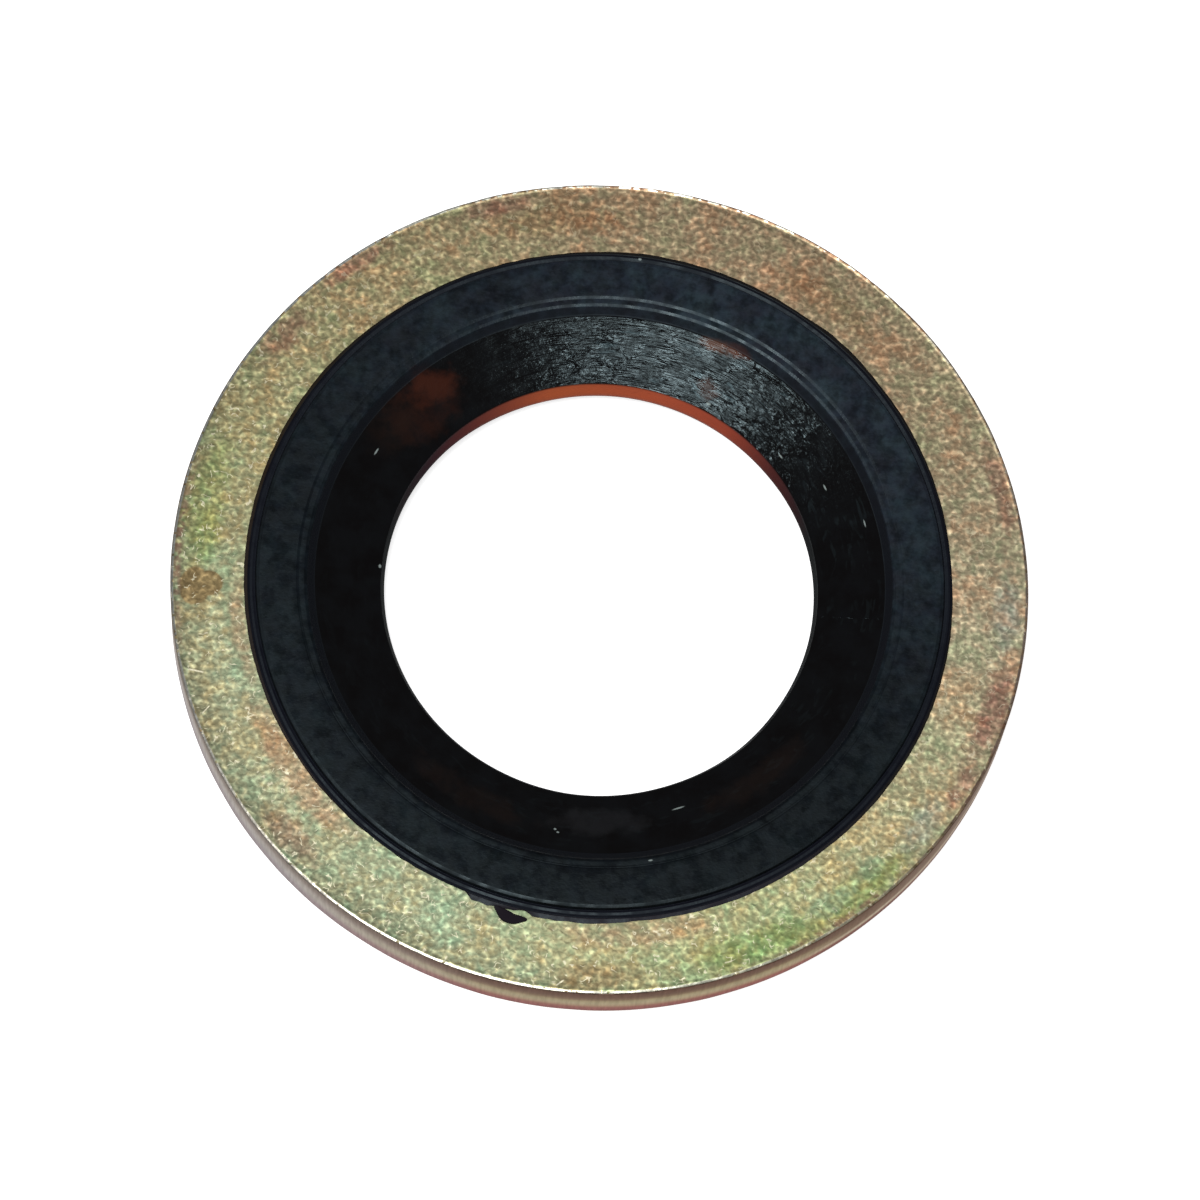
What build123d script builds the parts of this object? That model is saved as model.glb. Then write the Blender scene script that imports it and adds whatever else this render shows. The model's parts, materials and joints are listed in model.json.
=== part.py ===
from build123d import *
import math
import os

# A bonded drain plug gasket: a flat steel ring with a rubber seal moulded into its bore.
# It lies flat. The origin is on the bore's axis, level with the lower sealing flat, and +Z is up.
# Lengths are in millimetres and angles in degrees. The section is laid out from the bore
# outwards, and its upper and lower halves are alike about the gasket's middle plane.

# Rubber seal, from the bore to the sealing flat
lip_bore_diameter = 13.0  # grips the thread of an M14 plug
land_height = 0.74  # wall of the bore, between the cones, before its edges are rounded
lip_rounding = 0.20
cone_width = 2.15
step_width = 0.23
step_drop = 0.23
ledge_width = 0.20
ledge_drop = 0.03  # from the sealing flat
flat_bevel = 0.04  # between the ledge and the flat
flat_width = 1.26
seal_rise = 0.23  # each sealing flat stands this far proud of the steel

# Rubber seal, where it laps onto the steel
flat_overlap = 0.08  # the part of the flat that lies over the steel
wall_batter = 0.07
shoulder_width = 0.10
shoulder_rise = 0.07
shoulder_lift = 0.03  # it rises outwards by this much
foot_batter = 0.05
film_width = 0.17
film_thickness = 0.03

# Flash on the upper steel face. Angles are from +X, anticlockwise seen from above.
# Beside the torn hook the film ran wider. The hook's middle line is given by how far it lies
# along the film's edge from the hook's own angle, and how far it reaches out from that edge.
skirt_start_angle = 255.8
skirt_end_angle = 260.6
skirt_reach = 0.09
tab_angle = 263.5
tab_width = 0.28
tab_thickness = 0.08
tab_root_along = -0.42
tab_bend_along = -0.10
tab_bend_reach = 0.26
tab_tip_along = 0.32
tab_tip_reach = 0.20

# Steel ring
ring_band_width = 2.70
ring_thickness = 2.0
bore_chamfer = 0.10
burr_width = 0.20  # raised edge of the upper rim, on the side that the punch left
burr_height = 0.03
burr_drop = 0.05  # from the steel's upper face down to the top of the rim's wall
rolled_edge_radius = 0.30  # lower rim, on the side that the punch entered

# Radii that follow
lip_radius = lip_bore_diameter / 2
cone_outer_radius = lip_radius + cone_width
ledge_inner_radius = cone_outer_radius + step_width
ledge_outer_radius = ledge_inner_radius + ledge_width
flat_inner_radius = ledge_outer_radius + flat_bevel
flat_outer_radius = flat_inner_radius + flat_width
shoulder_inner_radius = flat_outer_radius + wall_batter
shoulder_outer_radius = shoulder_inner_radius + shoulder_width
film_inner_radius = shoulder_outer_radius + foot_batter
film_outer_radius = film_inner_radius + film_width
ring_bore_radius = flat_outer_radius - flat_overlap
ring_outer_radius = ring_bore_radius + ring_band_width  # 13.0, so the ring is 26.0 across

# Heights that follow, from the middle plane
steel_face = ring_thickness / 2
sealing_flat = steel_face + seal_rise
ledge = sealing_flat - ledge_drop
step_foot = ledge - step_drop
shoulder = steel_face + shoulder_rise
film_top = steel_face + film_thickness
middle_plane_height = sealing_flat  # above the origin


def ring_section():
    """The steel's section: chamfered at the bore, burred at its upper rim and rolled at its lower one."""
    with BuildSketch(Plane.XZ) as section:
        with BuildLine():
            Polyline(
                (ring_bore_radius, bore_chamfer - steel_face),
                (ring_bore_radius, steel_face - bore_chamfer),
                (ring_bore_radius + bore_chamfer, steel_face),
                (ring_outer_radius - burr_width, steel_face),
                (ring_outer_radius - burr_width / 2, steel_face + burr_height),
                (ring_outer_radius, steel_face - burr_drop),
                (ring_outer_radius, -steel_face),
                (ring_bore_radius + bore_chamfer, -steel_face),
                close=True,
            )
        make_face()
        lower_rim = section.vertices().sort_by_distance((ring_outer_radius, -steel_face))[0]
        fillet(lower_rim, rolled_edge_radius)
    return section.sketch


def seal_section():
    """The rubber's section: land, cones, steps, ledges, sealing flats and the feet on the steel."""
    upper_half = [
        (cone_outer_radius, step_foot),
        (ledge_inner_radius, ledge),
        (ledge_outer_radius, ledge),
        (flat_inner_radius, sealing_flat),
        (flat_outer_radius, sealing_flat),
        (shoulder_inner_radius, shoulder),
        (shoulder_outer_radius, shoulder + shoulder_lift),
        (film_inner_radius, film_top),
        (film_outer_radius, film_top),
        (film_outer_radius, steel_face),
        (ring_bore_radius + bore_chamfer, steel_face),
        (ring_bore_radius, steel_face - bore_chamfer),
    ]
    lower_half = [(radius, -height) for radius, height in reversed(upper_half)]
    lip_top = (lip_radius, land_height / 2)
    lip_foot = (lip_radius, -land_height / 2)
    with BuildSketch(Plane.XZ) as section:
        with BuildLine():
            Polyline(lip_foot, lip_top, *upper_half, *lower_half, close=True)
        make_face()
        lip_edges = section.vertices().group_by(Axis.X)[0]
        fillet(lip_edges, lip_rounding)
    return section.sketch


def flash_skirt():
    """The stretch where the film ran wider: a slot along the film's edge, as thin as the film."""
    edge = CenterArc((0, 0), film_outer_radius, skirt_start_angle, skirt_end_angle - skirt_start_angle)
    return extrude(Plane.XY.offset(steel_face) * SlotArc(edge, 2 * skirt_reach), film_thickness)


def flash_tab():
    """A hook of flash that lies on the steel, its root on the film's edge and its tip turned along it."""
    turn = math.radians(tab_angle)
    outward = (math.cos(turn), math.sin(turn), 0)
    root = (film_outer_radius * outward[0], film_outer_radius * outward[1], steel_face)
    on_steel = Plane(origin=root, x_dir=outward, z_dir=(0, 0, 1))
    middle_line = ThreePointArc(
        (0, tab_root_along), (tab_bend_reach, tab_bend_along), (tab_tip_reach, tab_tip_along)
    )
    return extrude(on_steel * SlotArc(middle_line, tab_width), tab_thickness)


def steel_ring():
    """The punched washer that holds the seal."""
    return revolve(ring_section(), Axis.Z)


def rubber_seal():
    """The moulded seal, with its flash, in one piece."""
    return revolve(seal_section(), Axis.Z) + flash_skirt() + flash_tab()


os.makedirs("parts", exist_ok=True)
lift = Pos(0, 0, middle_plane_height)
export_step(lift * steel_ring(), "parts/steel_ring.step")
export_step(lift * rubber_seal(), "parts/rubber_seal.step")
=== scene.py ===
import json
import math

import bpy
import numpy as np
from mathutils import Matrix, Vector


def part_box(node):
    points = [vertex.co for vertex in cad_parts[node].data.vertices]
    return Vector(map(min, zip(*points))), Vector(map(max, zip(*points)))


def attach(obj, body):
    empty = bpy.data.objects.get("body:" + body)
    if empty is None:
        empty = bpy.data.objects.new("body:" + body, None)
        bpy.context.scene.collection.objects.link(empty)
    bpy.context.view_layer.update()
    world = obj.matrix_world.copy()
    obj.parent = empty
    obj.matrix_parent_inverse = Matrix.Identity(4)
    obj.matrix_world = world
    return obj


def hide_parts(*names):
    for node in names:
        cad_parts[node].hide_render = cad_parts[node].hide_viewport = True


# The look of a bonded drain plug gasket: its plated steel ring and the rubber seal moulded into it.
# Lengths are in millimetres unless a name says otherwise, angles in degrees anticlockwise from +X
# seen from above, and the photograph's near side is at 270.

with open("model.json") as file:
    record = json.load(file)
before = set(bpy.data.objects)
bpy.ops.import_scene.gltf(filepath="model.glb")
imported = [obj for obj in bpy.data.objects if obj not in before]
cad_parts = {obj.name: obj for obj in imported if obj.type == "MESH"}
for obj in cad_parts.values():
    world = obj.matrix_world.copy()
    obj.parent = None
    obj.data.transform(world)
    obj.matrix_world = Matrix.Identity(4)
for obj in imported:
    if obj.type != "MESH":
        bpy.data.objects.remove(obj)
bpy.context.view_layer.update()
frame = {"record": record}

MM = 0.001

# Sizes read from the frame
_, ring_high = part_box("steel_ring")
_, seal_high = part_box("rubber_seal")
outer_radius = ring_high.x / MM
seal_top = seal_high.z / MM
middle_height = seal_top / 2
lip_mount = next(m for m in frame["record"]["mounts"] if m["name"] == "lip_bore")
lip_radius = lip_mount["dims"]["r_mm"]

# Sizes that follow the section in the CAD source
seal_rise = 0.23
steel_top = seal_top - seal_rise
ring_bore_radius = outer_radius - 2.70
bore_chamfer = 0.10
burr_height = 0.03
rolled_edge_radius = 0.30
land_half_height = 0.37
lip_ease = 0.03  # the bore's wall stands this far outside the plain land
lip_flare = 0.13  # and its upper edge this far
lip_sag = 0.14  # at the far side its lower edge reaches this far inwards
cone_outer_radius = lip_radius + 2.15
cone_middle = 7.5  # the radius at which lengths round the cone are measured
ledge_inner_radius = cone_outer_radius + 0.23
flat_inner_radius = ledge_inner_radius + 0.24
flat_outer_radius = flat_inner_radius + 1.26
ledge = seal_top - 0.03
step_foot = ledge - 0.23
bead_foot = steel_top + 0.065
bead_top = steel_top + 0.095
bead_inner_radius = 10.44
bead_radius = 10.535
film_inner_radius = 10.65
film_outer_radius = 10.77

# Edges, as facets that lean by about 17 degrees
edge_facet = 0.085
edge_fall = 0.026

# The bead and the burr. Both lie a little towards +Y.
bead_shift = 0.03
burr_crest_radius = outer_radius - 0.07
burr_crest_shift = 0.035
burr_crest_waver = 0.012
burr_rise_width = 0.11
burr_lean = 0.27  # outer slope of the burr
burr_least = 0.25  # the share of its height that is left at the near side

# Unevenness: how far it goes, and over what length it changes
crinkle_height, crinkle_size = 0.0015, 0.26
swell_height, swell_size = 0.004, 2.4
dent_depth, dent_size = 0.006, 0.8
wrinkle_height, wrinkle_size = 0.0045, 0.34
lip_waver, lip_waver_size = 0.018, 2.6
nibble_depth, nibble_size = 0.0022, 0.30
bead_nibble = 0.003
near_ledge_rise = 0.020

# The ragged edge of the flash film on the upper face: angle, radius
FILM_EDGE = [
    (0, 10.71), (9, 10.65), (20, 10.70), (36, 10.74), (45, 10.74), (52, 10.80), (57, 10.80), (61, 10.75),
    (72, 10.77), (90, 10.78), (104, 10.72), (125, 10.72), (150, 10.77), (195, 10.77), (215, 10.75),
    (232, 10.70), (238, 10.67), (246, 10.68), (254.8, 10.62), (255.4, 10.69), (256.6, 10.84), (257.4, 10.81),
    (259.2, 10.84), (259.9, 10.79), (261.5, 10.78), (263.6, 10.76), (264.1, 10.71), (265.2, 10.69),
    (265.8, 10.73), (266.5, 10.82), (268.8, 10.80), (270.2, 10.83), (271.9, 10.80), (274.6, 10.84),
    (279.8, 10.80), (283.2, 10.76), (285, 10.79), (300, 10.80), (318, 10.76), (345, 10.74), (360, 10.71),
]

# The torn hook of flash, along the film's edge: distance from its angle, middle radius, half width, thickness
hook_angle = 263.5
hook_measured_at = 10.9  # the radius at which those distances are arc lengths
HOOK = [
    (-0.62, 10.80, 0.030, 0.02), (-0.54, 10.83, 0.085, 0.04), (-0.45, 10.88, 0.135, 0.06),
    (-0.36, 10.935, 0.170, 0.07), (-0.26, 10.965, 0.195, 0.08), (-0.13, 10.995, 0.185, 0.08),
    (0.0, 11.015, 0.165, 0.08), (0.10, 11.012, 0.148, 0.08), (0.20, 10.995, 0.125, 0.075),
    (0.29, 10.975, 0.098, 0.065), (0.36, 10.962, 0.070, 0.055), (0.41, 10.955, 0.042, 0.04),
    (0.435, 10.952, 0.015, 0.02),
]

# Camera, fitted to the photograph's circles. It looks at the middle of the steel's upper face.
camera_distance = 191.09
camera_tilt = 19.87  # away from straight above, towards the near side
camera_roll = 7.73
camera_lens = 189.59
camera_sensor = 36.0
aim_below_middle = 0.592
aim_left_of_middle = 0.0157
camera_near_m = 0.01
camera_far_m = 10

# Light
key_direction = Vector((-0.12, -0.23, 0.965))
key_distance_m = 0.60
key_size_m = 0.22
key_power_w = 4.4
world_radiance = 0.18
floor_half_width_m = 3.0
floor_glow = 0.75

RING_SEGMENTS = 1080
SEAL_SEGMENTS = 700
ARC_STEP = 20  # degrees of turn in one facet of a rounded corner
HOOK_ROWS = 40
HOOK_SIDES = 14
hidden_coarser = 5.0  # spacing of the seal's hidden lower half, against its upper half


# Mesh helpers

def lattice(i, j, k, seed):
    """A value from -1 to 1 for each whole-numbered lattice point."""
    mixed = (i * 73856093) ^ (j * 19349663) ^ (k * 83492791) ^ (seed * 40503)
    mixed = (mixed ^ (mixed >> 13)) * 1274126177 & 0x7FFFFFFF
    mixed = (mixed ^ (mixed >> 15)) & 0xFFFF
    return mixed / 32767.5 - 1


def noise(points, size, seed):
    """Smooth noise from -1 to 1 at points (n, 3), which changes over about size."""
    cell = np.floor(points / size).astype(np.int64)
    part = points / size - cell
    part = part * part * (3 - 2 * part)
    total = np.zeros(len(points))
    for corner in range(8):
        step = np.array([corner & 1, corner >> 1 & 1, corner >> 2 & 1])
        weight = np.where(step, part, 1 - part).prod(axis=1)
        total += weight * lattice(*(cell + step).T, seed)
    return total


def smooth_step(low, high, value):
    """0 below low, 1 above high and smooth between."""
    share = np.clip((value - low) / (high - low), 0, 1)
    return share * share * (3 - 2 * share)


def hump(middle, half_width, value):
    """1 at the middle and 0 from half_width away."""
    return smooth_step(half_width, 0, np.abs(value - middle))


def folds(points, size, seed):
    """Wrinkled noise from -1 to 1, whose folds wind about."""
    shifts = [noise(points, size * 1.7, seed + k) for k in (1, 2, 3)]
    return noise(points + np.stack(shifts, axis=-1) * size * 0.9, size, seed)


def section(corners):
    """A closed loop of points through corners (radius, height, rounding, spacing).

    The rounding is the corner's arc radius, and the spacing cuts the run that follows the corner."""
    places = np.array([corner[:2] for corner in corners], float)
    arcs = []
    for index, corner in enumerate(corners):
        rounding = corner[2]
        here = places[index]
        back = places[index - 1] - here
        ahead = places[(index + 1) % len(corners)] - here
        reach = [np.linalg.norm(back), np.linalg.norm(ahead)]
        turn = math.pi - math.acos(np.clip(back @ ahead / (reach[0] * reach[1]), -1, 1))
        if rounding <= 0 or turn < 0.01:
            arcs.append([here])
            continue
        cut = min(rounding * math.tan(turn / 2), 0.48 * min(reach))
        start = here + back / reach[0] * cut
        end = here + ahead / reach[1] * cut
        count = max(2, math.ceil(math.degrees(turn) / ARC_STEP))
        shares = np.linspace(0, 1, count + 1)[:, None]
        arcs.append(list((1 - shares) ** 2 * start + 2 * shares * (1 - shares) * here + shares**2 * end))
    loop = []
    for index, arc in enumerate(arcs):
        loop.extend(arc)
        following = arcs[(index + 1) % len(arcs)][0]
        length = np.linalg.norm(following - arc[-1])
        steps = max(1, round(length / corners[index][3]))
        for step in range(1, steps):
            loop.append(arc[-1] + (following - arc[-1]) * step / steps)
    return np.array(loop)


def lathe(loop, segments):
    """Radius, angle (radians) and height of every point of the loop turned once round +Z."""
    turns = np.arange(segments) * (2 * math.pi / segments)
    angle, radius = np.meshgrid(turns, loop[:, 0], indexing="ij")
    height = np.broadcast_to(loop[:, 1], radius.shape).copy()
    return radius.copy(), angle, height


def ring_faces(segments, count):
    """Four-sided faces of a closed tube of count points by segments, facing outwards."""
    segment, index = np.meshgrid(np.arange(segments), np.arange(count), indexing="ij")
    here, ahead = segment * count, (segment + 1) % segments * count
    beside = (index + 1) % count
    faces = [here + index, ahead + index, ahead + beside, here + beside]
    return np.stack(faces, axis=-1).reshape(-1, 4)


def to_points(radius, angle, height):
    return np.stack([radius * np.cos(angle), radius * np.sin(angle), height], axis=-1).reshape(-1, 3)


def make_piece(name, points, faces, material, node):
    """A smooth-shaded mesh object that stands for a CAD node."""
    mesh = bpy.data.meshes.new(name)
    mesh.from_pydata((points * MM).tolist(), [], faces)
    mesh.validate()
    mesh.shade_smooth()
    mesh.materials.append(material)
    piece = bpy.data.objects.new(name, mesh)
    bpy.context.scene.collection.objects.link(piece)
    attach(piece, "root")
    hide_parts(node)
    return piece


# Shader helpers

def new_material(name):
    material = bpy.data.materials.new(name)
    material.use_nodes = True
    return material, material.node_tree


def feed(tree, socket, value):
    """Links a socket, or sets a number, vector or colour."""
    if isinstance(value, bpy.types.NodeSocket):
        tree.links.new(value, socket)
    elif socket.type == "RGBA" and len(value) == 3:
        socket.default_value = (*value, 1)
    else:
        socket.default_value = value


def calc(tree, operation, *values, clamp=False):
    node = tree.nodes.new("ShaderNodeMath")
    node.operation = operation
    node.use_clamp = clamp
    for socket, value in zip(node.inputs, values):
        feed(tree, socket, value)
    return node.outputs[0]


def times(tree, first, second):
    return calc(tree, "MULTIPLY", first, second)


def plus(tree, first, second):
    return calc(tree, "ADD", first, second)


def vector_calc(tree, operation, *values, output=0):
    node = tree.nodes.new("ShaderNodeVectorMath")
    node.operation = operation
    for socket, value in zip(node.inputs, values):
        feed(tree, socket, value)
    return node.outputs[output]


def spread(tree, value, low, high, to_low=0.0, to_high=1.0):
    """A smooth step from to_low, at low, to to_high, at high."""
    node = tree.nodes.new("ShaderNodeMapRange")
    node.interpolation_type = "SMOOTHSTEP"
    for name, number in zip(
        ("Value", "From Min", "From Max", "To Min", "To Max"), (value, low, high, to_low, to_high)
    ):
        feed(tree, node.inputs[name], number)
    return node.outputs["Result"]


def grain(tree, place, size, detail=2.0, roughness=0.5, distortion=0.0):
    """Noise around 0.5 that changes over about size, in millimetres."""
    node = tree.nodes.new("ShaderNodeTexNoise")
    for name, value in zip(
        ("Vector", "Scale", "Detail", "Roughness", "Distortion"),
        (place, 1 / size, detail, roughness, distortion)
    ):
        feed(tree, node.inputs[name], value)
    return node.outputs["Fac"]


def cells(tree, place, size, feature="F1"):
    node = tree.nodes.new("ShaderNodeTexVoronoi")
    node.feature = feature
    feed(tree, node.inputs["Vector"], place)
    feed(tree, node.inputs["Scale"], 1 / size)
    return node


def ramp(tree, value, stops):
    node = tree.nodes.new("ShaderNodeValToRGB")
    feed(tree, node.inputs["Fac"], value)
    elements = node.color_ramp.elements
    while len(elements) < len(stops):
        elements.new(0.5)
    for element, (place, colour) in zip(elements, stops):
        element.position = place
        element.color = (*colour, 1)
    return node.outputs["Color"]


def mix(tree, share, first, second, blend="MIX"):
    node = tree.nodes.new("ShaderNodeMix")
    node.data_type = "RGBA"
    node.blend_type = blend
    for name, value in (("Factor_Float", share), ("A_Color", first), ("B_Color", second)):
        feed(tree, next(s for s in node.inputs if s.identifier == name), value)
    return next(s for s in node.outputs if s.identifier == "Result_Color")


def object_place(tree):
    """The surface point in millimetres, its distance from the axis and its height."""
    coordinates = tree.nodes.new("ShaderNodeTexCoord")
    place = vector_calc(tree, "SCALE", coordinates.outputs["Object"])
    place.node.inputs["Scale"].default_value = 1 / MM
    flat = vector_calc(tree, "MULTIPLY", place, (1, 1, 0))
    radius = vector_calc(tree, "LENGTH", flat, output=1)
    parts = tree.nodes.new("ShaderNodeSeparateXYZ")
    feed(tree, parts.inputs[0], place)
    return place, radius, parts.outputs["Z"]


def on_ring(angle, radius, height):
    turn = math.radians(angle)
    return (radius * math.cos(turn), radius * math.sin(turn), height)


def bump(tree, height, distance, normal=None):
    node = tree.nodes.new("ShaderNodeBump")
    feed(tree, node.inputs["Height"], height)
    feed(tree, node.inputs["Distance"], distance)
    if normal is not None:
        feed(tree, node.inputs["Normal"], normal)
    return node.outputs["Normal"]


# Materials

def shade(red, green, blue):
    """A colour given as it looks on a screen, from 0 to 255, in the linear light that shaders use."""
    return tuple(((part / 255 + 0.055) / 1.055) ** 2.4 for part in (red, green, blue))


# The passivated zinc's colours round the ring, by angle, with painted light in them: lighter at the near side
# than at the far side
PLATING_AND_LIGHT = [
    (0, shade(173, 161, 133)),
    (35, shade(166, 150, 121)),
    (70, shade(165, 146, 118)),
    (95, shade(165, 147, 118)),
    (135, shade(163, 152, 116)),
    (165, shade(161, 157, 119)),
    (205, shade(162, 163, 131)),
    (255, shade(163, 167, 134)),
    (272, shade(168, 166, 128)),
    (295, shade(168, 170, 126)),
    (325, shade(173, 167, 130)),
    (360, shade(173, 161, 133)),
]

ROSE = shade(148, 104, 92)
PINK_TAN = shade(176, 144, 116)
GREY = shade(150, 156, 144)
STAIN = shade(142, 118, 80)
YELLOW_GREEN = shade(146, 150, 90)
LEAF_GREEN = shade(130, 150, 92)
TEAL = shade(138, 164, 134)
PALE_GREEN = shade(166, 176, 144)
RUST = shade(142, 112, 80)
tint_share = 0.85  # how far the tinted areas take on their colours

# Tinted areas of the upper face, partly the passivation's own tints and partly painted reflections: angle,
# radius, half length along the ring, half width, strength, colour
AREAS = [
    (284, 11.15, 3.4, 0.65, 0.70, PINK_TAN),
    (222, 11.10, 3.4, 0.60, 0.85, PINK_TAN),
    (196, 11.00, 2.4, 0.35, 0.60, PINK_TAN),
    (229, 12.35, 1.5, 0.60, 0.60, ROSE),
    (176, 12.20, 2.8, 0.90, 0.65, YELLOW_GREEN),
    (181, 11.95, 1.2, 0.60, 0.60, LEAF_GREEN),
    (202, 11.75, 2.6, 0.70, 0.55, PALE_GREEN),
    (248, 11.75, 3.6, 0.75, 0.50, PALE_GREEN),
    (262, 12.50, 3.0, 0.50, 0.50, PALE_GREEN),
    (277, 12.45, 2.0, 0.55, 0.60, RUST),
    (300, 12.35, 2.8, 0.70, 0.95, LEAF_GREEN),
    (316, 12.40, 2.6, 0.70, 0.95, YELLOW_GREEN),
    (311, 12.20, 1.3, 0.45, 0.75, TEAL),
    (319, 12.05, 0.9, 0.40, 0.60, TEAL),
    (329, 12.30, 1.4, 0.60, 0.65, GREY),
    (337, 12.60, 1.1, 0.40, 0.75, ROSE),
    (348, 12.50, 2.4, 0.60, 0.90, ROSE),
    (3, 12.35, 1.6, 0.55, 0.70, GREY),
    (22, 12.60, 2.0, 0.40, 0.60, ROSE),
    (60, 11.60, 2.6, 0.70, 0.60, RUST),
    (103, 11.90, 3.0, 0.70, 0.65, RUST),
    (112, 12.60, 1.6, 0.40, 0.70, ROSE),
    (134, 12.70, 1.6, 0.40, 0.75, ROSE),
    (148, 12.45, 1.5, 0.60, 0.70, ROSE),
]

wall_depth = 2.0

# The wall's colours by depth below the upper face: at the near side, at the right and at the left. They are
# partly the passivation's bands and partly painted reflections, and the pale band at the right is a painted
# highlight of the rolled edge
WALL_BROWN = [
    (0.00, shade(86, 66, 58)), (0.20, shade(92, 70, 62)), (0.42, shade(98, 78, 68)),
    (0.61, shade(114, 96, 78)), (0.80, shade(144, 133, 106)), (1.02, shade(154, 144, 118)),
    (1.22, shade(152, 133, 110)), (1.42, shade(136, 94, 86)), (1.64, shade(130, 82, 82)),
    (1.90, shade(118, 70, 72)),
]
WALL_RIGHT = [
    (0.00, shade(84, 64, 54)), (0.85, shade(106, 84, 68)), (1.02, shade(112, 92, 76)),
    (1.16, shade(166, 154, 134)), (1.32, shade(166, 154, 134)), (1.46, shade(112, 72, 66)),
    (1.90, shade(88, 52, 50)),
]
WALL_GREY = [
    (0.00, shade(114, 108, 104)), (0.28, shade(130, 124, 119)), (0.60, shade(156, 152, 149)),
    (0.90, shade(158, 156, 155)), (1.20, shade(151, 148, 151)), (1.50, shade(140, 137, 142)),
    (1.90, shade(124, 118, 124)),
]
WALL_EDGE_TINT = (0.55, 0.50, 0.46)  # keeps the wall's colour at a low angle

# The rubbed burr: how much of it shows by angle, and its tone, which is partly a painted highlight, brightest
# at the far side
BURR_SHOWN = [
    (0, 0.55), (36, 0.48), (44, 0.60), (52, 0.32), (68, 0.40), (90, 0.52), (108, 0.48), (122, 0.52),
    (140, 0.66), (212, 0.68), (228, 0.70), (288, 0.70), (320, 0.58), (335, 0.50), (360, 0.55),
]
BURR_TONE_AND_GLINT = [
    (0, shade(112, 101, 92)), (36, shade(122, 117, 104)), (60, shade(150, 146, 132)),
    (90, shade(184, 184, 172)), (118, shade(140, 142, 132)), (140, shade(130, 134, 132)),
    (208, shade(126, 126, 120)), (228, shade(142, 138, 128)), (242, shade(154, 150, 140)),
    (282, shade(150, 150, 138)), (302, shade(146, 146, 130)), (318, shade(136, 130, 110)),
    (335, shade(112, 90, 78)), (360, shade(112, 101, 92)),
]

# Strengths by angle: the near side's tints, the painted shade at the rim, the wall's grey and the painted
# glints
NEAR_SIDE = [(0, 0.2), (140, 0.2), (175, 1), (315, 1), (345, 0.3), (360, 0.2)]
RIM_SHADE = [(0, 0.03), (140, 0.05), (175, 0.14), (250, 0.16), (310, 0.06), (360, 0.0)]
WALL_GREYNESS = [(0, 0.2), (120, 0.5), (170, 1), (232, 0.9), (262, 0.1), (300, 0), (360, 0.2)]
GLINTS_SHOWN = [(0, 0.35), (40, 0.15), (130, 0.25), (165, 0.8), (290, 0.8), (325, 0.5), (360, 0.35)]

# Shifts of hue by noise, at the far and the near side
FAR_TINTS = [(0.36, (1.16, 0.91, 0.86)), (0.5, (1.0, 1.0, 1.0)), (0.64, (0.89, 1.06, 0.97))]
NEAR_TINTS = [(0.36, (1.14, 0.95, 0.82)), (0.5, (1.0, 1.0, 1.0)), (0.64, (0.84, 1.05, 1.06))]

# Ovals of the stain, and of the painted shade along the burr's inner foot: angle, radius, half length, half
# width
STAIN_OVALS = [(189.0, 12.26, 0.68, 0.52), (188.6, 11.82, 0.44, 0.46)]
BURR_FOOT_SHADE_OVALS = [(183, 12.80, 3.6, 0.16), (312, 12.84, 3.4, 0.12)]
BURR_FOOT_SHADE = shade(112, 80, 72)
BROWNING = (0.56, 0.46, 0.45)
# Tone of the painted glints and of the scratches
GLINT_AND_SCRATCH_TONE = (0.60, 0.56, 0.41)
DARK_SCRATCH = ((262.1, 11.45), (263.7, 12.60), 0.035)
DARK_SCRATCH_TONE = shade(96, 88, 66)

# Scratches near the rim: two ends (angle, radius) and half width
SCRATCHES = [
    ((201.0, 12.74), (201.9, 12.33), 0.035), ((207.6, 12.72), (206.9, 12.45), 0.025),
    ((271.4, 12.80), (272.3, 12.62), 0.03),
]


def around(tree, place):
    """The angle about +Z in radians, from 0 to a full turn."""
    parts = tree.nodes.new("ShaderNodeSeparateXYZ")
    feed(tree, parts.inputs[0], place)
    turn = calc(tree, "ARCTAN2", parts.outputs["Y"], parts.outputs["X"])
    return calc(tree, "WRAP", turn, 2 * math.pi, 0.0)


def area(tree, angle, radius, middle, reach, half_length, half_width, core=0.25, edge=1.25):
    """1 in the middle of an oval that is curved with the ring, 0 outside it."""
    turned = calc(tree, "WRAP", calc(tree, "SUBTRACT", angle, math.radians(middle)), math.pi, -math.pi)
    along = times(tree, turned, reach / half_length)
    across = times(tree, calc(tree, "SUBTRACT", radius, reach), 1 / half_width)
    squares = plus(tree, times(tree, along, along), times(tree, across, across))
    return spread(tree, calc(tree, "SQRT", squares), edge, core)


def by_angle(tree, turn, stops):
    """A grey value that follows the angle, given as (angle, value) stops."""
    return ramp(tree, turn, [(angle / 360, (value, value, value)) for angle, value in stops])


def colour_by_angle(tree, turn, stops):
    """A colour that follows the angle, given as (angle, colour) stops."""
    return ramp(tree, turn, [(angle / 360, tone) for angle, tone in stops])


def stretched(tree, first, first_scale, second, second_scale):
    """A place for noise that is stretched: two values, each with its own scale, as X and Y."""
    node = tree.nodes.new("ShaderNodeCombineXYZ")
    feed(tree, node.inputs["X"], times(tree, first, first_scale))
    feed(tree, node.inputs["Y"], times(tree, second, second_scale))
    return node.outputs[0]


def moved(tree, place, x, y, z):
    return vector_calc(tree, "ADD", place, (x, y, z))


def between(tree, value, low, high, soft):
    """1 between low and high, 0 outside."""
    rise = spread(tree, value, low - soft, low + soft)
    return times(tree, rise, spread(tree, value, high + soft, high - soft))


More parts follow.
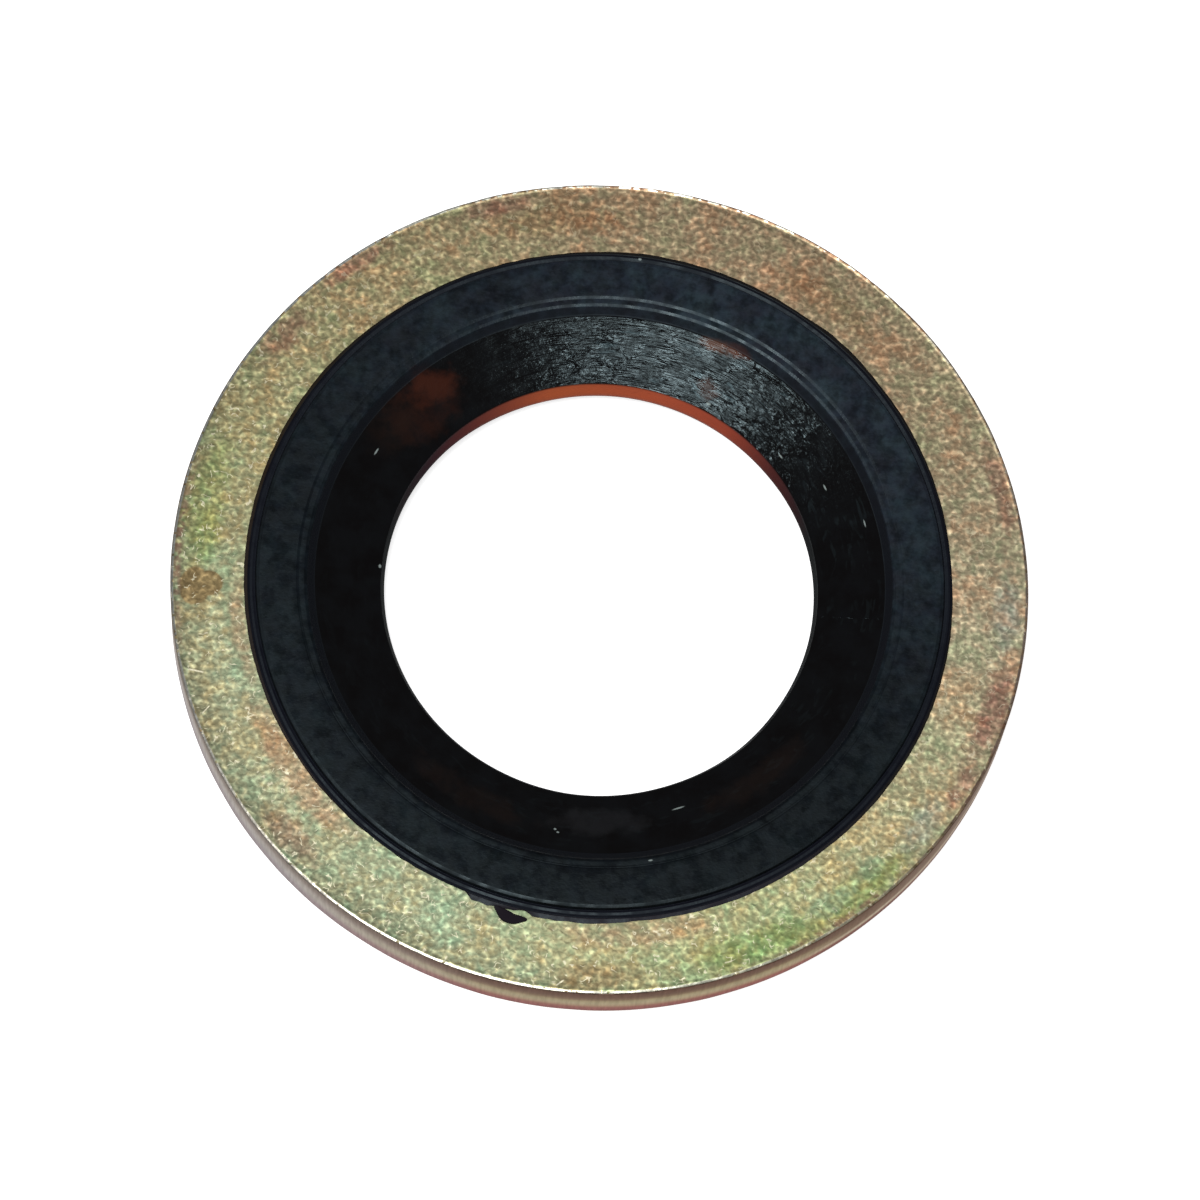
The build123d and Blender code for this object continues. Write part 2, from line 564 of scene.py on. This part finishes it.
def scratch(tree, place, start, end, half_width):
    """1 along a short straight stroke between two places, given as (angle, radius)."""
    first, last = (np.array(on_ring(angle, reach, 0)) for angle, reach in (start, end))
    run = last - first
    length = np.linalg.norm(run)
    away = vector_calc(tree, "SUBTRACT", vector_calc(tree, "MULTIPLY", place, (1, 1, 0)), tuple(first))
    along = vector_calc(tree, "DOT_PRODUCT", away, tuple(run / length), output=1)
    across = vector_calc(tree, "DOT_PRODUCT", away, (run[1] / length, -run[0] / length, 0), output=1)
    inside = between(tree, along, 0, length, 0.04)
    return times(tree, inside, spread(tree, calc(tree, "ABSOLUTE", across), half_width, half_width * 0.4))


def plated_steel():
    material, tree = new_material("plated_steel")
    shader = tree.nodes["Principled BSDF"]
    place, radius, height = object_place(tree)
    angle = around(tree, place)
    turn = times(tree, angle, 0.5 / math.pi)
    upper = spread(tree, height, middle_height, middle_height + 0.5)
    depth = calc(tree, "SUBTRACT", steel_top, height)

    # Passivation: tan to green round the ring, with painted light in it, and mottled patches of other tints,
    # partly painted reflections
    colour = colour_by_angle(tree, turn, PLATING_AND_LIGHT)
    mottles = [
        calc(tree, "MULTIPLY_ADD", grain(tree, moved(tree, place, x, 3, 5), 0.45, 2.5, 0.6, 0.4), 1.5, -0.75)
        for x in (0, 11)
    ]
    for index, (middle, reach, half_length, half_width, strength, tone) in enumerate(AREAS):
        oval = times(tree, area(tree, angle, radius, middle, reach, half_length, half_width), upper)
        share = times(
            tree, spread(tree, plus(tree, oval, mottles[index % 2]), 0.1, 1.2), spread(tree, oval, 0.0, 0.3)
        )
        colour = mix(tree, times(tree, share, strength * tint_share), colour, tone)
    hue = grain(tree, moved(tree, place, 7, 3, 5), 0.36, 2.0, 0.6, 0.4)
    blotch = grain(tree, moved(tree, place, -9, 4, 2), 1.5, 2.0, 0.5, 0.3)
    tint = plus(tree, times(tree, hue, 0.5), times(tree, blotch, 0.5))
    far_tints = ramp(tree, tint, FAR_TINTS)
    near_tints = ramp(tree, tint, NEAR_TINTS)
    nearness = by_angle(tree, turn, NEAR_SIDE)
    colour = mix(tree, 1.0, colour, mix(tree, nearness, far_tints, near_tints), "MULTIPLY")
    ovals = [area(tree, angle, radius, *oval, 0.6, 1.15) for oval in STAIN_OVALS]
    stain_area = calc(tree, "MAXIMUM", *ovals)
    stain = plus(tree, stain_area, times(tree, mottles[1], 0.5))
    stain = times(tree, times(tree, spread(tree, stain, 0.2, 0.65), spread(tree, stain_area, 0, 0.2)), upper)
    colour = mix(tree, times(tree, stain, 0.85), colour, STAIN)

    # Soft grain, with painted glints along winding strokes and painted shade towards the near left rim
    fine = grain(tree, place, 0.16, 0.6, 0.5, 0.3)
    coarse = grain(tree, moved(tree, place, 1, -6, 3), 0.30, 1.0, 0.5, 0.4)
    winding = grain(tree, moved(tree, place, 2, 2, 8), 0.25, 0.5, 0.5, 0.9)
    strokes = calc(tree, "ABSOLUTE", calc(tree, "SUBTRACT", winding, 0.5))
    contrast = calc(tree, "MULTIPLY_ADD", nearness, -0.22, 1.08)
    light = calc(tree, "MULTIPLY_ADD", fine, 1.5, calc(tree, "MULTIPLY_ADD", coarse, 0.75, -1.11))
    light = plus(tree, light, times(tree, times(tree, light, light), 1.6))
    light = calc(tree, "MULTIPLY_ADD", light, contrast, 0.67)
    light = plus(tree, light, spread(tree, strokes, 0.10, 0.0, 0.0, 0.12))
    # Painted shade: darker towards the rim, most at the left and the near side
    painted_rim_shade = times(tree, spread(tree, radius, 11.9, 12.7), by_angle(tree, turn, RIM_SHADE))
    light = calc(tree, "SUBTRACT", light, painted_rim_shade)
    colour = mix(tree, 1.0, colour, light, "MULTIPLY")

    # The wall, with painted reflections and a painted highlight in its colours
    share = times(tree, depth, 1 / wall_depth)
    brown, right, grey = (
        ramp(tree, share, [(below / wall_depth, tone) for below, tone in tones])
        for tones in (WALL_BROWN, WALL_RIGHT, WALL_GREY)
    )
    greyness = by_angle(tree, turn, WALL_GREYNESS)
    wall = mix(tree, greyness, mix(tree, between(tree, turn, 308 / 360, 352 / 360, 0.02), brown, right), grey)
    streaks = stretched(tree, angle, outer_radius / 0.09, height, 1 / 0.9)
    sheared = grain(tree, streaks, 1.0, 2.0, 0.55)
    wall = mix(tree, 1.0, wall, spread(tree, sheared, 0.3, 0.7, 0.88, 1.12), "MULTIPLY")
    on_corner = spread(tree, radius, outer_radius - 0.045, outer_radius - 0.025)
    on_roll = times(
        tree, spread(tree, depth, 0.3, 0.5), spread(tree, radius, outer_radius - 0.30, outer_radius - 0.14)
    )
    on_wall = calc(tree, "MAXIMUM", on_corner, on_roll)
    colour = mix(tree, on_wall, colour, wall)

    # The burr, rubbed bright in broken lengths with a painted highlight in its tone, and brown between them
    on_top = times(tree, calc(tree, "SUBTRACT", 1.0, on_wall), upper)
    on_burr = times(tree, spread(tree, radius, outer_radius - 0.115, outer_radius - 0.085), on_top)
    cuts = grain(tree, moved(tree, place, 4, 9, 1), 0.22, 1.5, 0.6)
    shown = by_angle(tree, turn, BURR_SHOWN)
    rubbed_and_glinting = times(tree, spread(tree, calc(tree, "MULTIPLY_ADD", shown, 0.6, cuts), 0.74, 0.82), on_burr)
    browned = mix(tree, 1.0, colour, BROWNING, "MULTIPLY")
    colour = mix(tree, on_burr, colour, browned)
    # Painted shade in mottled lines along the burr's inner foot
    burr_foot_area = calc(tree, "MAXIMUM", *(area(tree, angle, radius, *oval) for oval in BURR_FOOT_SHADE_OVALS))
    burr_foot_mottle = grain(tree, moved(tree, place, 6, 2, 1), 0.30, 2.0, 0.6)
    burr_foot_shade = times(tree, times(tree, burr_foot_area, spread(tree, burr_foot_mottle, 0.40, 0.56)), on_top)
    colour = mix(tree, times(tree, burr_foot_shade, 0.65), colour, BURR_FOOT_SHADE)
    bare_and_glint = colour_by_angle(tree, turn, BURR_TONE_AND_GLINT)
    colour = mix(tree, times(tree, rubbed_and_glinting, 0.9), colour, bare_and_glint)

    # Painted glints as bright flecks, and three scratches near the rim
    rare = spread(tree, grain(tree, moved(tree, place, -3, 8, 2), 0.26, 1.0), 0.57, 0.64)
    glints_and_scratches = times(tree, spread(tree, strokes, 0.055, 0.005), rare)
    many = by_angle(tree, turn, GLINTS_SHOWN)
    glints_and_scratches = times(tree, glints_and_scratches, many)
    for start, end, width in SCRATCHES:
        glints_and_scratches = calc(tree, "MAXIMUM", glints_and_scratches, scratch(tree, place, start, end, width))
    glints_and_scratches = times(tree, glints_and_scratches, on_top)
    colour = mix(tree, glints_and_scratches, colour, GLINT_AND_SCRATCH_TONE)
    scored = times(tree, scratch(tree, place, *DARK_SCRATCH), 0.3)
    colour = mix(tree, scored, colour, DARK_SCRATCH_TONE)
    feed(tree, shader.inputs["Base Color"], colour)
    feed(tree, shader.inputs["Specular Tint"], mix(tree, on_wall, (1.0, 1.0, 1.0), WALL_EDGE_TINT))

    feed(tree, shader.inputs["Metallic"], spread(tree, rubbed_and_glinting, 0, 1, 1.0, 0.7))
    feed(tree, shader.inputs["Roughness"], spread(tree, rubbed_and_glinting, 0, 1, 0.50, 0.34))
    relief = plus(tree, fine, times(tree, coarse, 0.6))
    feed(tree, shader.inputs["Normal"], bump(tree, times(tree, relief, on_top), 0.009 * MM))
    return material


# Bright nicks and specks on the rubber: angle, radius, half length along the ring, half width
SPECKS = [
    (295.7, 7.44, 0.22, 0.030), (267.5, 7.93, 0.05, 0.040), (268.2, 8.02, 0.05, 0.035),
    (182.3, 6.69, 0.07, 0.050), (156.0, 7.98, 0.14, 0.030), (21.4, 8.30, 0.14, 0.025),
    (32.6, 7.60, 0.12, 0.030), (45.2, 7.02, 0.10, 0.030), (61.3, 7.84, 0.08, 0.035),
    (68.2, 6.88, 0.09, 0.045), (90.7, 10.56, 0.06, 0.045), (286.7, 9.02, 0.08, 0.030),
]

# Warm and dull areas of the rubber; the orange ones at the far side and the left are painted reflections:
# angle, radius, half length, half width, strength, colour
RUBBER_AREAS = [
    (72.0, 8.50, 0.80, 0.26, 0.45, shade(110, 66, 42)),
    (68.0, 8.62, 0.80, 0.22, 0.40, shade(86, 46, 30)),
    (70.5, 7.25, 0.60, 0.40, 0.30, shade(96, 64, 52)),
    (137.5, 8.10, 1.10, 0.80, 0.40, shade(72, 32, 18)),
    (141.0, 7.80, 1.80, 1.20, 0.40, shade(46, 23, 15)),
    (149.0, 8.00, 1.40, 0.90, 0.4, shade(24, 15, 11)),
    (247.0, 7.80, 2.60, 0.60, 0.5, shade(24, 16, 13)),
    (315.0, 7.80, 2.60, 0.60, 0.5, shade(24, 16, 13)),
    (277.0, 7.55, 1.90, 0.62, 0.4, shade(32, 32, 34)),
]

# Tones of the rubber. The film's follow the share of a full turn; its lighter pink at the near side is
# painted light.
BLOOM = [(0.36, (0.0032, 0.0036, 0.0056)), (0.5, (0.0040, 0.0056, 0.0084)), (0.64, (0.0048, 0.0078, 0.0102))]
CONE_BLACK = [(0.38, (0.0020, 0.0014, 0.0015)), (0.62, (0.0028, 0.0026, 0.0030))]
STEP_PAINTED_SHADE = (0.0024, 0.0022, 0.0038)
FOOT_BLACK = (0.0030, 0.0030, 0.0060)
CREST_HIGHLIGHT = (0.040, 0.062, 0.070)
DUST = (0.5, 0.6, 0.6)
CHIP = (0.22, 0.26, 0.25)
LAND_REFLECTION_TONES = [
    (30, shade(96, 34, 40)), (60, shade(142, 60, 40)), (110, shade(148, 70, 38)), (150, shade(80, 28, 44))
]
FILM_TONES = [
    (0, (0.0060, 0.0045, 0.0040)), (0.35, (0.0060, 0.0045, 0.0040)), (0.45, (0.012, 0.0070, 0.0030)),
    (0.62, (0.010, 0.0045, 0.0040)), (0.70, (0.0075, 0.0045, 0.0070)), (0.84, (0.0075, 0.0040, 0.0070)),
    (0.92, (0.0060, 0.0040, 0.0030)), (1, (0.0060, 0.0045, 0.0040)),
]

# Strengths by angle: painted light on the bloom, painted shade on the step, painted highlights on the crests,
# the land's painted reflection, and the cone's gloss and roughness
BLOOM_PAINTED_LIGHT = [
    (0, 0.5), (30, 0.74), (60, 0.84), (90, 0.78), (130, 0.50), (165, 0.26), (250, 0.20), (300, 0.15),
    (335, 0.18), (360, 0.46)
]
STEP_SHADE_SHOWN = [(0, 1), (36, 0.8), (60, 0.5), (110, 0.5), (150, 0.9), (360, 1)]
CREST_HIGHLIGHT_SHOWN = [(0, 0.04), (48, 0.12), (68, 0.8), (88, 0.8), (106, 0.12), (130, 0), (360, 0.04)]
LAND_REFLECTION_SHOWN = [
    (0, 0), (22, 0), (44, 0.25), (62, 0.75), (80, 0.9), (112, 0.85), (135, 0.4), (155, 0.12), (172, 0),
    (360, 0)
]
CONE_SHEEN = [(0, 0.05), (38, 0.05), (54, 0.3), (68, 1.0), (84, 1.0), (106, 0.5), (130, 0.2), (360, 0.05)]
CONE_ROUGHNESS = [(0, 0.12), (28, 0.3), (48, 0.9), (64, 1.0), (97, 1.0), (114, 0.5), (134, 0.2), (360, 0.12)]


def seal_rubber():
    material, tree = new_material("seal_rubber")
    shader = tree.nodes["Principled BSDF"]
    place, radius, height = object_place(tree)
    angle = around(tree, place)
    turn = times(tree, angle, 0.5 / math.pi)
    upper = spread(tree, height, middle_height - 0.5, middle_height + 0.1)
    on_cone = spread(tree, radius, cone_outer_radius + 0.04, cone_outer_radius - 0.04)

    # Black rubber with a faint bloom, teal in places and violet in others, made lighter towards the far side
    # by painted light
    cloud = grain(tree, place, 0.9, 3, 0.6)
    haze = grain(tree, moved(tree, place, 3, 1, 4), 0.30, 2.5, 0.6)
    bloom = ramp(tree, cloud, BLOOM)
    bloom = mix(tree, 1.0, bloom, spread(tree, haze, 0.3, 0.7, 0.55, 1.6), "MULTIPLY")
    painted_light = by_angle(tree, turn, BLOOM_PAINTED_LIGHT)
    bloom = mix(tree, 1.0, bloom, times(tree, painted_light, 2.2), "MULTIPLY")
    cone = ramp(tree, cloud, CONE_BLACK)
    colour = mix(tree, on_cone, bloom, cone)
    waver = calc(tree, "MULTIPLY_ADD", grain(tree, moved(tree, place, 5, 0, 2), 0.60, 3, 0.6), 1.8, -0.9)
    for middle, reach, half_length, half_width, strength, tone in RUBBER_AREAS:
        oval = times(tree, area(tree, angle, radius, middle, reach, half_length, half_width), upper)
        share = times(tree, spread(tree, plus(tree, oval, waver), 0.2, 1.2), spread(tree, oval, 0.0, 0.4))
        colour = mix(tree, times(tree, share, strength), colour, tone)
    # Painted shade: the step is made near black, less so at the far side
    shaded_step = between(tree, radius, cone_outer_radius - 0.01, ledge_inner_radius - 0.03, 0.025)
    shaded_step = times(tree, shaded_step, by_angle(tree, turn, STEP_SHADE_SHOWN))
    colour = mix(tree, shaded_step, colour, STEP_PAINTED_SHADE)
    on_foot = spread(tree, radius, flat_outer_radius + 0.03, flat_outer_radius + 0.06)
    colour = mix(tree, on_foot, colour, FOOT_BLACK)
    on_film = spread(tree, radius, film_inner_radius, film_inner_radius + 0.03)
    film_tone = ramp(tree, turn, FILM_TONES)
    colour = mix(tree, on_film, colour, film_tone)

    # Tool lines round the cones and wrinkles along them, strongest at the far side, with painted highlights
    # on the wrinkles' crests
    lines = grain(tree, stretched(tree, radius, 1 / 0.07, angle, cone_middle / 1.8), 1.0, 2, 0.5, 0.2)
    wrinkles = grain(tree, stretched(tree, radius, 1 / 0.22, angle, cone_middle / 0.8), 1.0, 2.0, 0.55, 1.0)
    crest_highlights = times(
        tree, spread(tree, wrinkles, 0.53, 0.66),
        spread(tree, grain(tree, moved(tree, place, 9, 9, 1), 0.8, 2.0, 0.6), 0.42, 0.58)
    )
    crest_highlights = times(tree, crest_highlights, between(tree, radius, lip_radius + 0.35, cone_outer_radius - 0.15, 0.2))
    crest_highlights = times(tree, crest_highlights, by_angle(tree, turn, CREST_HIGHLIGHT_SHOWN))
    colour = mix(tree, times(tree, crest_highlights, upper), colour, CREST_HIGHLIGHT)

    # The land, with a painted warm reflection at the far side
    on_land = spread(tree, radius, lip_radius + 0.16, lip_radius + 0.10)
    land_reflection = by_angle(tree, turn, LAND_REFLECTION_SHOWN)
    land_reflection_tone = colour_by_angle(tree, turn, LAND_REFLECTION_TONES)
    land_reflection = times(tree, land_reflection, spread(tree, height, middle_height - 0.45, middle_height - 0.05, 0.45, 1.0))
    colour = mix(tree, times(tree, on_land, land_reflection), colour, land_reflection_tone)

    # Specks
    chips = None
    for middle, reach, half_length, half_width in SPECKS:
        chip = area(tree, angle, radius, middle, reach, half_length, half_width, 0.5, 1.1)
        chips = chip if chips is None else calc(tree, "MAXIMUM", chips, chip)
    dust = cells(tree, place, 0.42)
    rare = calc(tree, "GREATER_THAN", dust.outputs["Color"], 0.93)
    motes = times(tree, rare, spread(tree, dust.outputs["Distance"], 0.10, 0.04))
    chips = times(tree, chips, times(tree, upper, 0.7))
    colour = mix(tree, times(tree, motes, 0.07), colour, DUST)
    colour = mix(tree, chips, colour, CHIP)
    feed(tree, shader.inputs["Base Color"], colour)

    dull = grain(tree, moved(tree, place, 8, 1, 1), 0.45, 2.0, 0.6)
    satin = spread(tree, dull, 0.34, 0.66, 0.30, 0.50)
    satin = plus(
        tree, satin, times(tree, spread(tree, radius, flat_outer_radius - 0.12, flat_outer_radius), 0.12)
    )
    sheen = by_angle(tree, turn, CONE_SHEEN)
    patches = spread(
        tree, grain(tree, moved(tree, place, 1, 7, 3), 0.60, 3.0, 0.65, 0.6), 0.40, 0.60, 0.0, 0.20
    )
    glossy = calc(tree, "MULTIPLY_ADD", patches, sheen, 0.15)
    rough = plus(tree, times(tree, satin, calc(tree, "SUBTRACT", 1.0, on_cone)), times(tree, glossy, on_cone))
    near_hook = area(tree, angle, radius, hook_angle, 11.0, 0.8, 0.4)
    matt = calc(tree, "MAXIMUM", calc(tree, "MAXIMUM", shaded_step, on_land), near_hook)
    feed(tree, shader.inputs["Roughness"], spread(tree, matt, 0, 1, rough, 0.90))
    shader.inputs["Specular IOR Level"].default_value = 0.14
    feed(tree, shader.inputs["Specular Tint"], mix(tree, on_cone, (0.74, 0.94, 1.0), (0.72, 0.94, 1.0)))

    cone_relief = plus(tree, times(tree, wrinkles, 1.2), times(tree, lines, 0.8))
    rough_part = by_angle(tree, turn, CONE_ROUGHNESS)
    cone_relief = times(tree, times(tree, cone_relief, rough_part), 1.9)
    relief = plus(tree, times(tree, cone_relief, on_cone), times(tree, grain(tree, place, 0.10, 3, 0.6), 0.3))
    feed(tree, shader.inputs["Normal"], bump(tree, relief, 0.02 * MM))
    return material


def floor_white():
    material, tree = new_material("floor_white")
    shader = tree.nodes["Principled BSDF"]
    shader.inputs["Base Color"].default_value = (0.6, 0.6, 0.6, 1)
    shader.inputs["Roughness"].default_value = 0.9
    shader.inputs["Specular IOR Level"].default_value = 0.0
    shader.inputs["Emission Color"].default_value = (1, 1, 1, 1)
    shader.inputs["Emission Strength"].default_value = floor_glow
    return material


# Pieces

def burr(radius, angle):
    """How far the upper face rises above its own level near the rim, for arrays of radius and angle."""
    around_rim = to_points(np.full_like(radius, outer_radius), angle, np.zeros_like(radius))
    uneven = noise(around_rim, 0.9, 11).reshape(radius.shape)
    tall = burr_least + (1 - burr_least) * smooth_step(-0.7, 0.5, np.sin(angle))
    chipped = noise(around_rim, 0.32, 12).reshape(radius.shape)
    crest = burr_crest_radius + burr_crest_shift * np.sin(angle) + burr_crest_waver * uneven
    rise = burr_height * tall * (0.80 + 0.20 * uneven) * (1 - 0.7 * smooth_step(0.35, 0.75, chipped))
    inner = smooth_step(-burr_rise_width, 0.015, radius - crest)
    outer = np.clip(radius - crest, 0, None) * burr_lean * (1 + 0.5 * chipped)
    return rise * inner - outer


def plated_ring():
    top, low = steel_top, 2 * middle_height - steel_top
    loop = section([
        (ring_bore_radius, top - bore_chamfer, 0, 2.0),
        (ring_bore_radius, low + bore_chamfer, 0, 0.2),
        (ring_bore_radius + bore_chamfer, low, 0, 0.30),
        (outer_radius, low, rolled_edge_radius, 0.20),
        (outer_radius, top - 0.07, 0.02, 0.03),
        (outer_radius - 0.02, top, 0.02, 0.02),
        (outer_radius - 0.32, top, 0, 0.058),
        (ring_bore_radius + bore_chamfer, top, 0, 0.2),
    ])
    radius, angle, height = lathe(loop, RING_SEGMENTS)
    points = to_points(radius, angle, height)
    on_top = (height > top - 0.02) & (radius > ring_bore_radius + bore_chamfer + 0.01)
    plain = smooth_step(-0.16, -0.24, radius - burr_crest_radius)
    crinkle = folds(points, crinkle_size, 21).reshape(radius.shape)
    swell = noise(points, swell_size, 22).reshape(radius.shape)
    lift = burr(radius, angle) + (crinkle_height * crinkle + swell_height * swell) * plain
    height = np.where(on_top, height + lift, height)
    dents = noise(points, dent_size, 23).reshape(radius.shape)
    on_rim = smooth_step(outer_radius - 0.5, outer_radius - 0.05, radius)
    radius = radius - dent_depth * on_rim * (1.4 + dents)
    faces = ring_faces(RING_SEGMENTS, len(loop))
    return make_piece(
        "plated_ring", to_points(radius, angle, height), faces, plated_steel(), "steel_ring"
    )


def hook():
    """Points and faces of the torn hook: a closed blade on the steel, domed above and flat below."""
    around_section = np.linspace(0, 2 * math.pi, HOOK_SIDES, endpoint=False)
    rows = []
    table = np.array(HOOK)
    for share in np.linspace(0, len(HOOK) - 1, HOOK_ROWS):
        along, middle, half_width, thickness = (
            np.interp(share, range(len(HOOK)), column) for column in table.T
        )
        reach = middle + half_width * np.cos(around_section)
        rise = thickness * np.clip(1.8 * np.sin(around_section), 0, 1)
        turn = math.radians(hook_angle) + along / hook_measured_at
        rows.append(to_points(reach, np.full_like(reach, turn), steel_top + 0.002 + rise))
    points = np.concatenate(rows)
    points[:, 2] += 0.006 * noise(points, 0.12, 31) * (points[:, 2] > steel_top + 0.01)
    points[:, :2] += 0.010 * np.stack([noise(points, 0.16, 32), noise(points, 0.16, 33)], axis=-1)
    count = len(around_section)
    faces = []
    for row in range(len(rows) - 1):
        for index in range(count):
            beside = (index + 1) % count
            here, ahead = row * count, (row + 1) * count
            faces.append((here + index, here + beside, ahead + beside, ahead + index))
    faces.append(tuple(range(count))[::-1])
    faces.append(tuple((len(rows) - 1) * count + index for index in range(count)))
    return points, faces


def film_edge(angle):
    """The film's outer radius on the upper face, for an array of angles in radians."""
    angles, radii = np.array(FILM_EDGE).T
    rim = to_points(np.full_like(angle, film_outer_radius), angle, np.zeros_like(angle))
    ragged = 0.010 * noise(rim, 0.35, 41) + 0.006 * noise(rim, 0.14, 42)
    return np.interp(np.degrees(angle) % 360, angles, radii) + ragged.reshape(angle.shape)


def moulded_seal():
    def mirrored(corners, coarser):
        """The corners below the middle plane, more widely spaced and without the small roundings."""
        return [
            (r, 2 * middle_height - z, rounding if rounding > 0.1 else 0, spacing * coarser)
            for r, z, rounding, spacing in corners
        ]

    upper = [
        (lip_radius + lip_ease, middle_height + 0.05, 0.10, 0.06),
        (lip_radius + lip_flare, middle_height + land_half_height - 0.03, 0.10, 0.10),
        (cone_outer_radius, step_foot, 0.03, 0.05),
        (ledge_inner_radius - 0.01, ledge - edge_fall, 0.02, 0.022),
        (ledge_inner_radius - 0.01 + edge_facet, ledge, 0.02, 0.05),
        (flat_inner_radius - 0.01, ledge, 0.01, 0.022),
        (flat_inner_radius - 0.01 + edge_facet, seal_top, 0.02, 0.15),
        (flat_outer_radius - 0.08, seal_top, 0.02, 0.022),
        (flat_outer_radius + 0.015, seal_top - 0.027, 0.02, 0.04),
        (bead_inner_radius, bead_foot, 0.015, 0.03),
        (bead_radius, bead_top, 0.01, 0.02),
        (bead_radius + 0.065, bead_top - 0.019, 0.01, 0.04),
        (film_inner_radius, steel_top + 0.020, 0.01, 0.03),
        (film_inner_radius + 0.025, steel_top + 0.036, 0.005, 0.022),
        (film_outer_radius, steel_top + 0.010, 0.005, 0.03),
        (film_outer_radius, steel_top, 0, 0.4),
        (ring_bore_radius + bore_chamfer, steel_top, 0, 0.2),
        (ring_bore_radius, steel_top - bore_chamfer, 0, 2.0),
    ]

    # Read backwards, the spacing of each run stands with the corner after it
    lower = mirrored(upper, hidden_coarser)[::-1]
    spacings = [c[3] for c in lower]
    lower = [
        (r, z, rounding, spacings[(i + 1) % len(spacings)]) for i, (r, z, rounding, _) in enumerate(lower)
    ]
    loop = section(upper + lower)[::-1]
    radius, angle, height = lathe(loop, SEAL_SEGMENTS)
    points = to_points(radius, angle, height)
    above = height > middle_height

    # Wrinkles on the upper cone, strongest at the far side, and the lip's waver and sag
    on_cone = above & (radius > lip_radius + 0.05) & (radius < cone_outer_radius - 0.02)
    strong = 0.35 + 0.65 * hump(84, 30, np.degrees(angle))
    wrinkles = folds(points * np.array([1, 1, 0]), wrinkle_size, 51).reshape(radius.shape)
    height = height + np.where(on_cone, wrinkle_height * strong * wrinkles, 0)
    lip = noise(points * np.array([1, 1, 0]), lip_waver_size, 52).reshape(radius.shape)
    near_lip = smooth_step(lip_radius + 0.5, lip_radius, radius)
    radius = radius + lip_waver * lip * near_lip
    sagged = smooth_step(middle_height + land_half_height, middle_height - land_half_height, height)
    radius = radius - lip_sag * sagged * near_lip * smooth_step(0.1, 0.95, np.sin(angle))

    # Edges that break up, a bead that lies a little to one side, and the film's ragged edge
    nibbled = noise(points, nibble_size, 53).reshape(radius.shape)
    on_edge = hump(ledge_inner_radius + 0.03, 0.09, radius) + hump(flat_inner_radius + 0.03, 0.09, radius)
    on_edge = on_edge + hump(flat_outer_radius, 0.08, radius)
    height = height - np.where(above, nibble_depth * on_edge * (1 + nibbled), 0)
    near = smooth_step(0.1, -0.6, np.sin(angle))
    on_ledge = smooth_step(ledge_inner_radius - 0.06, ledge_inner_radius + 0.06, radius)
    on_ledge = on_ledge * smooth_step(flat_inner_radius + 0.06, flat_inner_radius, radius)
    height = height + np.where(above, near_ledge_rise * near * on_ledge, 0)
    on_bead = hump(bead_radius, 0.14, radius)
    height = height + np.where(above, bead_nibble * nibbled * on_bead, 0)
    radius = radius + np.where(above, bead_shift * np.sin(angle) * on_bead, 0)
    share = np.clip(
        (radius - film_inner_radius - 0.02) / (film_outer_radius - film_inner_radius - 0.02), 0, None
    )
    widened = film_inner_radius + 0.02 + share * (film_edge(angle) - film_inner_radius - 0.02)
    on_film = above & (share > 0) & (height < steel_top + 0.06)
    radius = np.where(on_film, widened, radius)
    points = to_points(radius, angle, height)
    faces = ring_faces(SEAL_SEGMENTS, len(loop))
    hook_points, hook_faces = hook()
    hook_faces = [tuple(index + len(points) for index in face) for face in hook_faces]
    points = np.concatenate([points, hook_points])
    return make_piece(
        "moulded_seal", points, faces.tolist() + hook_faces, seal_rubber(), "rubber_seal"
    )


# Stage

def make_floor():
    w = floor_half_width_m
    mesh = bpy.data.meshes.new("floor")
    mesh.from_pydata([(-w, -w, 0), (w, -w, 0), (w, w, 0), (-w, w, 0)], [], [(0, 1, 2, 3)])
    mesh.materials.append(floor_white())
    floor = bpy.data.objects.new("floor", mesh)
    bpy.context.scene.collection.objects.link(floor)


def make_light():
    data = bpy.data.lights.new("key", "AREA")
    data.shape = "DISK"
    data.size = key_size_m
    data.energy = key_power_w
    key = bpy.data.objects.new("key", data)
    direction = key_direction.normalized()
    key.location = direction * key_distance_m
    key.rotation_mode = "QUATERNION"
    key.rotation_quaternion = direction.to_track_quat("Z", "Y")
    bpy.context.scene.collection.objects.link(key)
    world = bpy.data.worlds.new("studio")
    world.use_nodes = True
    background = world.node_tree.nodes["Background"]
    background.inputs["Color"].default_value = (1, 1, 1, 1)
    background.inputs["Strength"].default_value = world_radiance
    bpy.context.scene.world = world


def make_camera():
    tilt, roll = math.radians(camera_tilt), math.radians(camera_roll)
    right = Vector((1, 0, 0))
    up = Vector((0, math.cos(tilt), math.sin(tilt)))
    back = Vector((0, -math.sin(tilt), math.cos(tilt)))
    frame_right = right * math.cos(roll) + up * math.sin(roll)
    frame_up = up * math.cos(roll) - right * math.sin(roll)
    middle = Vector((0, 0, steel_top))
    eye = middle + back * camera_distance
    target = middle - frame_up * aim_below_middle - frame_right * aim_left_of_middle
    back = (eye - target).normalized()
    frame_right = frame_up.cross(back).normalized()
    frame_up = back.cross(frame_right)
    data = bpy.data.cameras.new("camera")
    data.sensor_width = camera_sensor
    data.lens = camera_lens
    data.clip_start = camera_near_m
    data.clip_end = camera_far_m
    camera = bpy.data.objects.new("camera", data)
    turned = Matrix((frame_right, frame_up, back)).transposed().to_4x4()
    camera.matrix_world = Matrix.Translation(eye * MM) @ turned
    bpy.context.scene.collection.objects.link(camera)
    bpy.context.scene.camera = camera


plated_ring()
moulded_seal()
make_floor()
make_light()
make_camera()
bpy.context.scene.view_settings.view_transform = "Standard"
